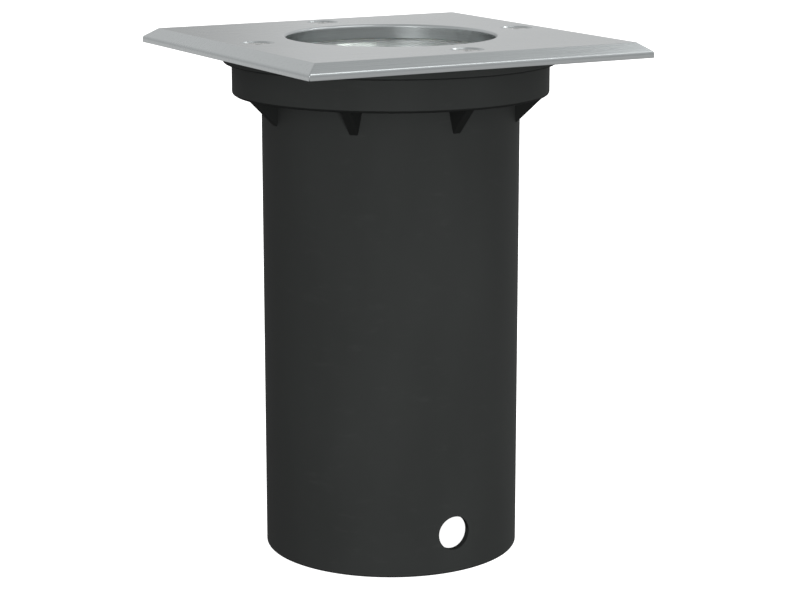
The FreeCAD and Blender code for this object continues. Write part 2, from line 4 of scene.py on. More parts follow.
import bmesh
import bpy
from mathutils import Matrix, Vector


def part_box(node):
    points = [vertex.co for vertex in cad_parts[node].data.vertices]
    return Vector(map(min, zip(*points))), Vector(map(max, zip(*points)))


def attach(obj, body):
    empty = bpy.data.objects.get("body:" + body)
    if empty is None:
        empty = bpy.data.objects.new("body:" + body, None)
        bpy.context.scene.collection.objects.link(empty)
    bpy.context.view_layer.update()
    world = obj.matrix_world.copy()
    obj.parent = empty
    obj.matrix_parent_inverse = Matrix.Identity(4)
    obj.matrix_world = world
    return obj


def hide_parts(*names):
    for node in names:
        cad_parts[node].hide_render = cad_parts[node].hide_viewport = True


# An outdoor ground light: a brushed steel cover plate on a black plastic sleeve.
# Sizes in the pieces' tables are millimetres, and become metres where a mesh is written.

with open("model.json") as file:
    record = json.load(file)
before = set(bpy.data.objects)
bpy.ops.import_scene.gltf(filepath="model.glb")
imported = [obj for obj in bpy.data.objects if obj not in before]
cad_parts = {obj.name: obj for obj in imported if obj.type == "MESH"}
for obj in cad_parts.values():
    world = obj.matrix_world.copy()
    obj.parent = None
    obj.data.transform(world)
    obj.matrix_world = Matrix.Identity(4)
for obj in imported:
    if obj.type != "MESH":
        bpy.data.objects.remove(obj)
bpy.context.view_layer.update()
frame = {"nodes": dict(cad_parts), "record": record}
mm = 0.001
sharpAngle = math.radians(32)  # edges that turn by more than this stay crisp
print("frame:", len(frame["nodes"]), "nodes")


def span(node):
    low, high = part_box(node)
    return low.z / mm, high.z / mm, high.x / mm  # bottom, top, reach along X


# outlines and meshes

def rounded(points, closed=True, steps=4):
    # points are (reach, level) or (reach, level, radius); a corner with a radius becomes an arc
    places = [Vector(point[:2]) for point in points]
    line = []
    for index, point in enumerate(points):
        place = places[index]
        inner = closed or 0 < index < len(points) - 1
        if len(point) < 3 or not inner:
            line.append(place)
            continue
        radius = point[2]
        back = (places[index - 1] - place).normalized()
        on = (places[(index + 1) % len(places)] - place).normalized()
        half = back.angle(on) / 2
        centre = place + (back + on).normalized() * (radius / math.sin(half))
        reach = radius / math.tan(half)
        start = (place + back * reach - centre).normalized()
        end = (place + on * reach - centre).normalized()
        line += [centre + start.slerp(end, step / steps) * radius for step in range(steps + 1)]
    return line


def bridge(mesh, lower, upper):
    # faces between two rings of equal count, either of which may be a single point
    if len(lower) == 1 and len(upper) == 1:
        return
    count = max(len(lower), len(upper))
    for here in range(count):
        after = (here + 1) % count
        if len(lower) == 1:
            mesh.faces.new((lower[0], upper[after], upper[here]))
        elif len(upper) == 1:
            mesh.faces.new((lower[here], lower[after], upper[0]))
        else:
            mesh.faces.new((lower[here], lower[after], upper[after], upper[here]))


def skin(rings):
    # a closed surface through rings of (x, y, z) places in millimetres, the last joined to the first
    mesh = bmesh.new()
    made = [[mesh.verts.new(Vector(place) * mm) for place in ring] for ring in rings]
    for index in range(len(made)):
        bridge(mesh, made[index - 1], made[index])
    bmesh.ops.recalc_face_normals(mesh, faces=mesh.faces)
    return mesh


def roundRing(radius, level, count):
    if radius == 0:
        return [(0, 0, level)]
    turns = [2 * math.pi / count * step for step in range(count)]
    return [(radius * math.cos(turn), radius * math.sin(turn), level) for turn in turns]


def lathe(points, count, steps=4):
    return skin([roundRing(place.x, place.y, count) for place in rounded(points, steps=steps)])


def rod(radius, bottom, top, count):
    return lathe([(0, bottom), (radius, bottom), (radius, top), (0, top)], count)


def added(name, data):
    item = bpy.data.objects.new(name, data)
    bpy.context.scene.collection.objects.link(item)
    return item


def placed(name, data):
    data.shade_smooth()
    data.set_sharp_from_angle(angle=sharpAngle)
    return added(name, data)


def asObject(name, mesh):
    data = bpy.data.meshes.new(name)
    mesh.to_mesh(data)
    mesh.free()
    return placed(name, data)


def evenShading(piece):
    # large flat faces keep their own normal beside small rounded edges
    weighted = piece.modifiers.new("Even shading", "WEIGHTED_NORMAL")
    weighted.keep_sharp = True


def evaluatedMesh(piece):
    graph = bpy.context.evaluated_depsgraph_get()
    return bpy.data.meshes.new_from_object(piece.evaluated_get(graph), depsgraph=graph)


def combined(name, piece, tool, operation):
    # one solid from two, after which the two are gone
    step = piece.modifiers.new(operation, "BOOLEAN")
    step.operation = operation
    step.solver = "EXACT"
    step.object = tool
    data = evaluatedMesh(piece)
    bpy.data.objects.remove(piece)
    bpy.data.objects.remove(tool)
    data.name = name
    return placed(name, data)


# node trees

class Value:
    # a node's output, so that node maths reads as a plain expression

    def __init__(self, graph, output):
        self.graph = graph
        self.output = output

    def math(self, operation, first, second=0.0):
        return self.graph.node("ShaderNodeMath", {"operation": operation}, {0: first, 1: second})

    def __add__(self, other):
        return self.math("ADD", self, other)

    def __sub__(self, other):
        return self.math("SUBTRACT", self, other)

    def __rsub__(self, other):
        return self.math("SUBTRACT", other, self)

    def __mul__(self, other):
        return self.math("MULTIPLY", self, other)

    def __truediv__(self, other):
        return self.math("DIVIDE", self, other)

    def __rtruediv__(self, other):
        return self.math("DIVIDE", other, self)

    def __lt__(self, other):
        return self.math("LESS_THAN", self, other)

    def __gt__(self, other):
        return self.math("GREATER_THAN", self, other)

    def __abs__(self):
        return self.math("ABSOLUTE", self)

    __radd__ = __add__
    __rmul__ = __mul__


class Graph:
    # a node tree and the one way that nodes are added to it

    def __init__(self, tree):
        self.tree = tree

    def node(self, kind, settings=None, sockets=None, output=0):
        made = self.tree.nodes.new(kind)
        for name, value in (settings or {}).items():
            if name == "stops":
                self.setStops(made.color_ramp, value)
            else:
                setattr(made, name, value)
        for key, value in (sockets or {}).items():
            if isinstance(value, Value):
                self.link(value, made.inputs[key])
            else:
                made.inputs[key].default_value = value
        return Value(self, made.outputs[output])

    def setStops(self, ramp, stops):
        for element, (position, color) in zip(ramp.elements, stops):
            element.position = position
            element.color = (*color, 1.0)

    def link(self, value, socket):
        self.tree.links.new(value.output, socket)

    def blend(self, factor, first, second):
        # a blend of two numbers
        return first + (second - first) * factor

    def range(self, value, low, high, fromLow=0.3, fromHigh=0.7):
        # a value carried from one range to another and kept inside it; the first range is a noise's
        # own unless one is given
        return self.node("ShaderNodeMapRange", {}, {
            "Value": value, "From Min": fromLow, "From Max": fromHigh, "To Min": low, "To Max": high,
        })

    def part(self, vector, axis):
        # one of a vector's three numbers
        return self.node("ShaderNodeSeparateXYZ", {}, {"Vector": vector}, output=axis)

    def length(self, vector):
        return self.node("ShaderNodeVectorMath", {"operation": "LENGTH"}, {0: vector}, output="Value")


class Finish(Graph):
    # a material with one Principled shader: fixed looks are set on its own sockets

    def __init__(self, name, looks=None):
        self.material = bpy.data.materials.new(name)
        self.material.use_nodes = True
        super().__init__(self.material.node_tree)
        self.shader = next(node for node in self.tree.nodes if node.type == "BSDF_PRINCIPLED")
        for key, value in (looks or {}).items():
            self.shader.inputs[key].default_value = value

    def drive(self, name, value):
        self.link(value, self.shader.inputs[name])

    def place(self, scale=(1, 1, 1)):
        # the piece's own coordinates in millimetres, then scaled
        coordinates = self.node("ShaderNodeTexCoord", output="Object")
        return self.node("ShaderNodeMapping", {}, {
            "Vector": coordinates, "Scale": [size / mm for size in scale],
        })

    def noise(self, place, scale=1.0, detail=2.0, roughness=0.5):
        return self.node("ShaderNodeTexNoise", {}, {
            "Vector": place, "Scale": scale, "Detail": detail, "Roughness": roughness,
        })

    def rings(self, reach, scale, detail):
        # noise that changes only with the distance from an axis
        return self.node("ShaderNodeTexNoise", {"noise_dimensions": "1D"}, {
            "W": reach, "Scale": scale, "Detail": detail,
        })

    def ramp(self, factor, low, high, fromLow=0.3, fromHigh=0.7):
        # a number turned into a colour between two
        stops = [(fromLow, low), (fromHigh, high)]
        return self.node("ShaderNodeValToRGB", {"stops": stops}, {"Fac": factor})

    def mix(self, factor, first, second):
        # a blend of two colours, which the node takes at its seventh and eighth sockets
        colors = [color if isinstance(color, Value) else (*color, 1.0) for color in (first, second)]
        return self.node("ShaderNodeMix", {"data_type": "RGBA"}, {
            "Factor": factor, 6: colors[0], 7: colors[1],
        }, output=2)

    def bump(self, height, depth, strength):
        # depth is the height of the relief in millimetres
        return self.node("ShaderNodeBump", {}, {
            "Height": height, "Distance": depth * mm, "Strength": strength,
        })


# finishes

plateMarks = {
    "wallRadius": 31.0,  # the opening's turned wall lies inside this radius
    "faceRadius": 31.7,  # and the brushed face outside this one
    # the painted highlight on the low edge fades out between these two levels
    "edgeLevel": 150.0,  # the plate's low edge lies below this level
    "slopeLevel": 150.5,  # and its slope above this one
}


def brushedSteel():
    # long brush lines along X, broken in length, over a faint cloudiness; the opening's wall is
    # turned, with lines round it and a duller shine, and the low edge round the plate has a painted
    # highlight, a lighter colour
    marks = plateMarks
    finish = Finish("brushedSteel", {"Metallic": 1.0})
    fine = finish.noise(finish.place((0.02, 9.0, 9.0)), detail=3.0, roughness=0.62)
    broad = finish.noise(finish.place((0.008, 1.4, 1.4)))
    cloud = finish.noise(finish.place((0.03, 0.05, 0.05)))
    brushed = fine * 0.75 + broad * 0.25
    turned = finish.noise(finish.place((0.04, 0.04, 7.0)), detail=3.0, roughness=0.6)
    reach = finish.length(finish.place((1, 1, 0)))
    wall = finish.range(reach, 1.0, 0.0, marks["wallRadius"], marks["faceRadius"])
    level = finish.part(finish.place(), "Z")
    # painted highlight: the low edge round the plate takes a lighter copy of the steel's colour
    edge = finish.range(level, 1.0, 0.0, marks["edgeLevel"], marks["slopeLevel"]) * (1 - wall)
    lines = finish.blend(wall, brushed, turned)
    face = finish.ramp(lines, (0.302, 0.319, 0.323), (0.353, 0.374, 0.379))
    bright = finish.ramp(lines, (0.37, 0.385, 0.39), (0.48, 0.50, 0.505))
    finish.drive("Base Color", finish.mix(edge, face, bright))
    shine = finish.range(lines + cloud * 0.3, 0.24, 0.34, 0.35, 0.95)
    finish.drive("Roughness", finish.blend(wall, shine, shine * 1.2))
    finish.drive("Normal", finish.bump(lines, 0.02, 0.16))
    return finish.material


def turnedSteel():
    # turning rings round each cover screw's own axis; the small screws inside stay plain
    finish = Finish("turnedSteel", {"Metallic": 1.0})
    own = finish.node("ShaderNodeAttribute", {"attribute_name": "ownPlace"}, output="Vector")
    flat = finish.node("ShaderNodeVectorMath", {"operation": "MULTIPLY"}, {0: own, 1: (1, 1, 0)})
    rings = finish.rings(finish.length(flat) / mm, 2.6, 1.0)
    smear = finish.noise(finish.place(), 1.1)
    finish.drive("Base Color", finish.ramp(rings, (0.36, 0.365, 0.36), (0.45, 0.455, 0.45)))
    finish.drive("Roughness", finish.range(smear, 0.2, 0.3))
    finish.drive("Normal", finish.bump(rings, 0.01, 0.25))
    return finish.material


def mouldedPlastic(name, color, roughness, grain=7.0, depth=0.01, worn=0.15, index=1.5, underside=1.0):
    # fine spark grain, soft flow clouds and a few dull scuffs; faces that look down may be given
    # painted shade, a darker colour standing in for the shade under the fins and the collar
    finish = Finish(name, {"IOR": index})
    fine = finish.noise(finish.place(), grain)
    cloud = finish.noise(finish.place((1, 1, 0.4)), 0.045, 3.0)
    streak = finish.noise(finish.place((0.3, 0.3, 1.2)), 0.35, 5.0, 0.7)
    scuff = finish.range(streak, 0.0, 1.0, 0.58, 0.8)
    light = [min(1.0, channel * (1 + worn) + worn * 0.02) for channel in color]
    dark = [channel * (1 - worn) for channel in color]
    scuffed = [channel + 0.015 for channel in light]
    base = finish.mix(scuff * 0.25, finish.mix(cloud, dark, light), scuffed)
    # painted shade: faces that look down get a darker base colour
    if underside < 1:
        facing = finish.part(finish.node("ShaderNodeNewGeometry", output="Normal"), "Z")
        paintedShade = finish.range(facing, 1.0, 0.0, -0.16, -0.05)
        base = finish.mix(paintedShade, base, [channel * underside for channel in dark])
    finish.drive("Base Color", base)
    finish.drive("Roughness", finish.range(cloud, *roughness) + scuff * 0.12)
    finish.drive("Normal", finish.bump(fine, depth, 0.6))
    return finish.material


def clearGlass():
    # thick clear glass with faint wipe marks
    finish = Finish("clearGlass", {
        "Base Color": (0.93, 0.97, 0.95, 1),
        "Transmission Weight": 1.0,
        "IOR": 1.5,
    })
    wipe = finish.noise(finish.place((0.05, 0.4, 0.4)), 0.8, 3.0)
    finish.drive("Roughness", finish.range(wipe, 0.0, 0.015, 0.4, 0.75))
    return finish.material


def rubber():
    finish = Finish("rubber", {"Specular IOR Level": 0.35})
    fine = finish.noise(finish.place(), 3.5, 3.0)
    dust = finish.noise(finish.place(), 0.3, 4.0)
    finish.drive("Base Color", finish.ramp(dust, (0.009, 0.009, 0.009), (0.03, 0.03, 0.029), 0.35, 0.75))
    finish.drive("Roughness", finish.range(fine, 0.62, 0.85))
    finish.drive("Normal", finish.bump(fine, 0.03, 0.5))
    return finish.material


def paleSilicone():
    # milky, slightly see-through seal
    finish = Finish("paleSilicone", {"Subsurface Weight": 0.25, "Subsurface Scale": 0.002})
    cloud = finish.noise(finish.place(), 0.4, 3.0)
    fine = finish.noise(finish.place(), 4.0)
    finish.drive("Base Color", finish.ramp(cloud, (0.50, 0.51, 0.505), (0.60, 0.61, 0.60)))
    finish.drive("Roughness", finish.range(fine, 0.4, 0.52))
    finish.drive("Normal", finish.bump(fine, 0.01, 0.4))
    return finish.material


def polishedRing():
    # bright turned metal with fine rings about the lamp's axis
    finish = Finish("polishedRing", {"Metallic": 1.0})
    rings = finish.rings(finish.length(finish.place((1, 1, 0))), 6.0, 2.0)
    haze = finish.noise(finish.place(), 0.12)
    finish.drive("Base Color", finish.ramp(rings, (0.78, 0.78, 0.77), (0.90, 0.90, 0.89)))
    finish.drive("Roughness", finish.range(haze, 0.14, 0.18))
    return finish.material


def frostedCover():
    finish = Finish("frostedCover", {"Transmission Weight": 0.35, "IOR": 1.49})
    fine = finish.noise(finish.place(), 6.0)
    finish.drive("Base Color", finish.ramp(fine, (0.82, 0.83, 0.82), (0.9, 0.9, 0.89)))
    finish.drive("Roughness", finish.range(fine, 0.3, 0.42))
    finish.drive("Normal", finish.bump(fine, 0.01, 0.4))
    return finish.material


def platedMetal(name, dark, light, roughness=(0.22, 0.36)):
    # drawn or stamped metal: fine scratches one way and a faint spangle
    finish = Finish(name, {"Metallic": 1.0})
    scratch = finish.noise(finish.place((0.6, 6.0, 2.5)), 1.0, 3.0, 0.6)
    spangle = finish.node("ShaderNodeTexVoronoi", {}, {
        "Vector": finish.place(), "Scale": 0.9,
    }, output="Color")
    patch = finish.node("ShaderNodeSeparateColor", {}, {"Color": spangle}, output="Red")
    blend = scratch * 0.6 + patch * 0.4
    finish.drive("Base Color", finish.ramp(blend, dark, light, 0.25, 0.75))
    finish.drive("Roughness", finish.range(blend, *roughness, 0.25, 0.75))
    finish.drive("Normal", finish.bump(scratch, 0.01, 0.4))
    return finish.material


def glazedCeramic():
    # off-white steatite with faint specks under a thin glaze
    finish = Finish("glazedCeramic", {"Coat Weight": 0.4, "Coat Roughness": 0.12})
    speck = finish.noise(finish.place(), 2.6, 3.0, 0.7)
    body = finish.noise(finish.place(), 0.25)
    base = finish.ramp(body, (0.70, 0.67, 0.60), (0.80, 0.78, 0.72))
    spots = finish.range(speck, 0.0, 0.5, 0.66, 0.74)
    finish.drive("Base Color", finish.mix(spots, base, (0.36, 0.31, 0.25)))
    finish.drive("Roughness", finish.range(body, 0.3, 0.42))
    finish.drive("Normal", finish.bump(speck, 0.02, 0.3))
    return finish.material


def chipResin():
    finish = Finish("chipResin", {"Coat Weight": 0.3})
    grain = finish.noise(finish.place(), 4.0)
    finish.drive("Base Color", finish.ramp(grain, (0.80, 0.52, 0.06), (0.88, 0.64, 0.12)))
    finish.drive("Roughness", finish.range(grain, 0.3, 0.45))
    finish.drive("Normal", finish.bump(grain, 0.01, 0.3))
    return finish.material


def stripedLead(stripe=0.42):
    # green insulation with a yellow stripe along it, that many millimetres each side of its middle
    finish = Finish("stripedLead")
    band = abs(finish.part(finish.place(), "X")) < stripe
    grain = finish.noise(finish.place(), 3.0)
    green = finish.ramp(grain, (0.03, 0.22, 0.05), (0.05, 0.30, 0.08))
    finish.drive("Base Color", finish.mix(band, green, (0.72, 0.60, 0.06)))
    finish.drive("Roughness", finish.range(grain, 0.38, 0.5))
    finish.drive("Normal", finish.bump(grain, 0.01, 0.3))
    return finish.material


finishes = {
    "plate_steel": brushedSteel(),
    "screw_steel": turnedSteel(),
    # the sleeve's downward faces get painted shade, half of its dark tone
    "sleeve_plastic": mouldedPlastic("sleevePlastic", (0.0114, 0.0123, 0.0119), (0.7, 0.8),
                                     index=1.21, underside=0.5),
    "housing_plastic": mouldedPlastic("housingPlastic", (0.012, 0.012, 0.0125), (0.6, 0.7),
                                      grain=5.0, depth=0.02, index=1.3),
    "clear_glass": clearGlass(),
    "black_rubber": rubber(),
    "pale_silicone": paleSilicone(),
    "polished_ring": polishedRing(),
    "bulb_plastic": mouldedPlastic("bulbPlastic", (0.78, 0.79, 0.78), (0.3, 0.42), grain=6.0, worn=0.03),
    "bulb_cover": frostedCover(),
    "board_metal": mouldedPlastic("boardPaint", (0.82, 0.82, 0.80), (0.35, 0.5), grain=5.0, worn=0.04),
    "chip_resin": chipResin(),
    "pin_metal": platedMetal("pinMetal", (0.60, 0.58, 0.53), (0.78, 0.75, 0.69)),
    "holder_ceramic": glazedCeramic(),
    "contact_brass": platedMetal("contactBrass", (0.62, 0.42, 0.16), (0.80, 0.60, 0.28)),
    "bracket_steel": platedMetal("bracketSteel", (0.48, 0.49, 0.50), (0.66, 0.67, 0.68), (0.3, 0.48)),
    "block_plastic": mouldedPlastic("blockPlastic", (0.62, 0.62, 0.58), (0.35, 0.48),
                                    grain=5.0, depth=0.02, worn=0.06),
    "lead_brown": mouldedPlastic("brownLead", (0.13, 0.055, 0.025), (0.35, 0.48), grain=4.0, depth=0.02),
    "lead_blue": mouldedPlastic("blueLead", (0.02, 0.09, 0.38), (0.35, 0.48), grain=4.0, depth=0.02),
    "lead_green": stripedLead(),
    "gland_plastic": mouldedPlastic("glandPlastic", (0.02, 0.02, 0.021), (0.4, 0.52),
                                    grain=5.0, depth=0.02),
}
print("finishes:", len(finishes))

# every CAD node takes the finish of its material slot
slotOf = {part["node"]: part["material_slot"] for part in frame["record"]["subparts"]}
for name, node in frame["nodes"].items():
    node.data.materials.clear()
    node.data.materials.append(finishes[slotOf[name]])


def dressed(piece, body, node):
    # a piece that stands for one node takes its body, slot and finish
    piece.data.materials.clear()
    piece.data.materials.append(finishes[slotOf[node]])
    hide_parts(node)
    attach(piece, body)
    return piece


# copies round the axis

def placedRound(name, template, count, radius, material):
    # copies of the template round Z, each turned to face outwards and keeping its own coordinates
    tree = bpy.data.node_groups.new(name, "GeometryNodeTree")
    countInput = tree.interface.new_socket("Count", in_out="INPUT", socket_type="NodeSocketInt")
    radiusInput = tree.interface.new_socket("Radius", in_out="INPUT", socket_type="NodeSocketFloat")
    tree.interface.new_socket("Geometry", in_out="OUTPUT", socket_type="NodeSocketGeometry")
    graph = Graph(tree)
    amount = graph.node("NodeGroupInput", output="Count")
    reach = graph.node("NodeGroupInput", output="Radius")
    ring = graph.node("GeometryNodeMeshCircle", {}, {"Vertices": amount, "Radius": reach})
    single = graph.node("GeometryNodeObjectInfo", {}, {"Object": template}, output="Geometry")
    position = graph.node("GeometryNodeInputPosition")
    marked = graph.node("GeometryNodeStoreNamedAttribute", {"data_type": "FLOAT_VECTOR"}, {
        "Geometry": single, "Name": "ownPlace", "Value": position,
    })
    index = graph.node("GeometryNodeInputIndex")
    turn = graph.node("ShaderNodeCombineXYZ", {}, {"Z": index / amount * (2 * math.pi)})
    copies = graph.node("GeometryNodeInstanceOnPoints", {}, {
        "Points": ring, "Instance": marked, "Rotation": turn,
    })
    solid = graph.node("GeometryNodeRealizeInstances", {}, {"Geometry": copies})
    painted = graph.node("GeometryNodeSetMaterial", {}, {"Geometry": solid, "Material": material})
    graph.link(painted, tree.nodes.new("NodeGroupOutput").inputs["Geometry"])

    host = added(name + "Host", bpy.data.meshes.new(name + "Host"))
    step = host.modifiers.new(name, "NODES")
    step.node_group = tree
    step[countInput.identifier] = count
    step[radiusInput.identifier] = radius * mm
    data = evaluatedMesh(host)
    bpy.data.objects.remove(host)
    bpy.data.objects.remove(template)
    return placed(name, data)


def atScrews(name, template, material):
    # a copy at each cover screw
    return placedRound(name, template, screwSizes["count"], screwSizes["place"], material)


# cover screws: flat countersunk heads with a hexagon socket, sunk a little below the plate's face

screwSizes = {
    "count": 4,
    "place": 43.2,
    "shank": 2.0,
    "length": 11.5,
    "headRadius": 4.4,
    "sink": 0.4,
    "socketFlats": 2.5,
    "socketDepth": 1.7,
    "socketChamfer": 0.25,
    "point": 0.6,
    "rim": 0.1,
    "turns": 72,
    "threadPitch": 0.7,
    "threadDepth": 0.22,
}


def hexRing(flats, level, count):
    places = []
    for step in range(count):
        angle = 2 * math.pi * step / count
        within = (angle + math.pi / 6) % (math.pi / 3) - math.pi / 6
        reach = flats / 2 / math.cos(within)
        places.append((reach * math.cos(angle), reach * math.sin(angle), level))
    return places


def oneScrew():
    # rings from the drilled foot of the socket up, out over the head and down the thread
    size = screwSizes
    turns = size["turns"]
    head = size["headRadius"]
    rim = size["rim"]
    shank = size["shank"]
    pitch = size["threadPitch"]
    drillDepth = size["socketDepth"] + size["socketFlats"] / 6
    coneDepth = head - shank
    mouth = size["socketFlats"] / math.sqrt(3) + size["socketChamfer"]
    rings = [
        [(0, 0, -drillDepth)],
        hexRing(size["socketFlats"], -size["socketDepth"], turns),
        hexRing(size["socketFlats"], -size["socketChamfer"], turns),
        roundRing(mouth, 0, turns),
        roundRing(head - 2 * rim, 0, turns),
    ]
    side = [(head - rim / 2, -rim / 4), (head, -rim), (shank, -coneDepth)]
    tip = -size["length"]
    level = -coneDepth - pitch / 2
    while level > tip + size["point"] + pitch:
        side.append((shank, level))
        side.append((shank - size["threadDepth"], level - pitch / 2))
        level -= pitch
    side.append((shank, tip + size["point"]))
    side.append((shank - size["point"], tip))
    side.append((0, tip))
    rings += [roundRing(reach, height, turns) for reach, height in side]
    return asObject("oneScrew", skin(rings))


def coverScrews():
    top = span("cover_plate")[1]
    screws = atScrews("coverScrews", oneScrew(), finishes["screw_steel"])
    for vertex in screws.data.vertices:
        vertex.co.z += (top - screwSizes["sink"]) * mm
    return screws


# cover plate: a square ring of steel, drawn as rings that go from round to square

plateSizes = {
    "bevelRun": 3.7,  # slope, measured along the plate
    "bevelRise": 2.6,
    "edgeRound": 1.0,  # rounding between slope and edge
    "plateauRound": 0.35,
    "footRound": 0.12,
    "cornerRound": 0.4,
    "cornerSteps": 4,
    "sideSteps": 46,
    "sideAngle": 43.125,  # a side's share of each eighth turn, in degrees; the rest is the corner
    "wall": 1.6,
    "lipRound": 0.9,
    "lipFootRound": 0.12,
    "lipSteps": 10,
    "grooveDepth": 0.3,
    "grooveInner": 31.55,
    "grooveOuter": 34.4,
    "padRadius": 50.0,  # the thick round middle, which the screws go through
    "openingRadius": 30.7,
    "sinkFoot": 2.05,  # countersink under each screw head
    "sinkMouth": 4.85,
    "sinkRound": 0.12,
    "sinkTurns": 72,
    "cutAbove": 0.003,  # the countersink's mouth stands this far over the face
    "cutPast": 1.0,  # and its cutter reaches this far past the plate
}


def plateRing(reach, level, corner=None):
    # a circle of that radius, or with a corner radius a square of that half side
    sideSteps = plateSizes["sideSteps"]
    sideAngle = plateSizes["sideAngle"]
    cornerSteps = plateSizes["cornerSteps"]
    places = []
    for quarter in range(4):
        row = []
        for step in range(sideSteps + 1):
            angle = math.radians(sideAngle * (2 * step / sideSteps - 1))
            if corner is None:
                row.append((reach * math.cos(angle), reach * math.sin(angle)))
            else:
                row.append((reach, reach * math.tan(angle)))
        for step in range(cornerSteps + 1):
            share = step / cornerSteps
            if corner is None:
                angle = math.radians(45 + (90 - 2 * sideAngle) * (share - 0.5) / 2)
                row.append((reach * math.cos(angle), reach * math.sin(angle)))
            else:
                angle = math.pi / 2 * share
                start = reach - corner
                row.append((start + corner * math.cos(angle), start + corner * math.sin(angle)))
        cosine = math.cos(math.pi / 2 * quarter)
        sine = math.sin(math.pi / 2 * quarter)
        places += [(x * cosine - y * sine, x * sine + y * cosine, level) for x, y in row]
    return places


def sinkCutters(bottom, top):
    size = plateSizes
    mouth = size["sinkMouth"]
    depth = mouth - size["sinkFoot"]
    above = top + size["cutAbove"]
    past = size["cutPast"]
    cutter = lathe([
        (0, bottom - past),
        (size["sinkFoot"], bottom - past),
        (size["sinkFoot"], top - depth),
        (mouth, above, size["sinkRound"]),
        (mouth + past, above),
        (mouth + past, top + past),
        (0, top + past),
    ], size["sinkTurns"])
    return atScrews("sinks", asObject("sink", cutter), finishes["plate_steel"])


def coverPlate():
    size = plateSizes
    bottom, top, half = span("cover_plate")
    wall = size["wall"]
    foot = top - size["bevelRise"]
    slope = math.hypot(size["bevelRun"], size["bevelRise"])
    # the plateau, the slope and the low edge; the first point only gives the plateau's direction
    outside = rounded([
        (size["padRadius"], top),
        (half - size["bevelRun"], top, size["plateauRound"]),
        (half, foot, size["edgeRound"]),
        (half, bottom, size["footRound"]),
        (half - wall, bottom),
    ], closed=False)[1:]
    # the hollow underneath keeps one wall's thickness under the plateau, the slope and the edge
    hollowTop = top - wall
    wallLine = foot - wall * slope / size["bevelRun"]
    hollowFoot = wallLine + wall * size["bevelRise"] / size["bevelRun"]
    hollowFlat = half - (hollowTop - wallLine) * size["bevelRun"] / size["bevelRise"]
    rings = [plateRing(place.x, place.y, size["cornerRound"]) for place in outside]
    rings.append(plateRing(half - wall, hollowFoot, size["cornerRound"]))
    rings.append(plateRing(hollowFlat, hollowTop, size["cornerRound"]))
    rings.append(plateRing(size["padRadius"], hollowTop))
    rings.append(plateRing(size["padRadius"], bottom))
    # the seal's groove, then up the opening's wall and over its lip
    grooveTop = bottom + size["grooveDepth"]
    inside = rounded([
        (size["grooveOuter"], bottom),
        (size["grooveOuter"], grooveTop),
        (size["grooveInner"], grooveTop),
        (size["grooveInner"], bottom),
        (size["openingRadius"], bottom, size["lipFootRound"]),
        (size["openingRadius"], top, size["lipRound"]),
        (size["padRadius"], top),
    ], closed=False, steps=size["lipSteps"])[:-1]
    rings += [plateRing(place.x, place.y) for place in inside]
    plate = asObject("coverPlate", skin(rings))
    return combined("coverPlate", plate, sinkCutters(bottom, top), "DIFFERENCE")


# glass under the opening

glassSizes = {"chamfer": 0.6, "edgeRound": 0.15, "roundSteps": 3, "turns": 192}


def glassLens():
    bottom, top, radius = span("glass_lens")
    chamfer = glassSizes["chamfer"]
    soft = glassSizes["edgeRound"]
    return asObject("glassLens", lathe([
        (0, bottom),
        (radius - chamfer, bottom, soft),
        (radius, bottom + chamfer, soft),
        (radius, top - chamfer, soft),
        (radius - chamfer, top, soft),
        (0, top),
    ], glassSizes["turns"], glassSizes["roundSteps"]))


# mounting sleeve: a straight tube in a collar with fins

tubeSizes = {
    "bore": 35.92,
    "endRound": 0.5,
    "roundSteps": 5,
    "turns": 192,
    "holeRadius": 5.0,
    "holeLevel": 12.0,
    "holeTurns": 64,
}
collarSizes = {
    "tubeRadius": 37.97,
    "radius": 46.5,
    "cup": 44.0,
    "round": 0.8,
    "flangeRound": 0.4,
    "flangeThickness": 2.8,
    "floorThickness": 2.0,
    "turns": 192,
    "bossRadius": 4.0,
    "bossTurns": 64,
    "bossBore": 2.05,
    "bossBoreDepth": 9.6,
    "boreTurns": 48,
    "borePast": 2.0,  # the bore's cutter reaches this far past the boss
    "sheathInset": 0.01,  # the bosses are cut off this far inside the collar's outer face
    "sheathDrop": 0.003,  # and this far below the flange's face
    "sheathDepth": 5.0,  # the cutter that does it starts this far below the collar
    "finCount": 8,
    "finThickness": 2.4,
    "finHeight": 7.4,
    "finInset": 1.0,
    "finDraft": 1.5,  # how far each side spreads from the slanted edge up to the collar
    "finRound": 0.25,
    "finSteps": 3,
}


def sleeveTube():
    size = tubeSizes
    bottom, top, radius = span("sleeve_tube")
    tube = asObject("sleeveTube", lathe([
        (size["bore"], bottom, size["endRound"]),
        (radius, bottom, size["endRound"]),
        (radius, top),
        (size["bore"], top),
    ], size["turns"], size["roundSteps"]))
    # the cable hole's drill starts halfway from the axis to the wall and points along -Y
    drill = rod(size["holeRadius"], 0, radius, size["holeTurns"])
    for vertex in drill.verts:
        x, y, z = vertex.co
        vertex.co = (x, -z - size["bore"] / 2 * mm, y + size["holeLevel"] * mm)
    bmesh.ops.recalc_face_normals(drill, faces=drill.faces)
    return combined("sleeveTube", tube, asObject("drill", drill), "DIFFERENCE")


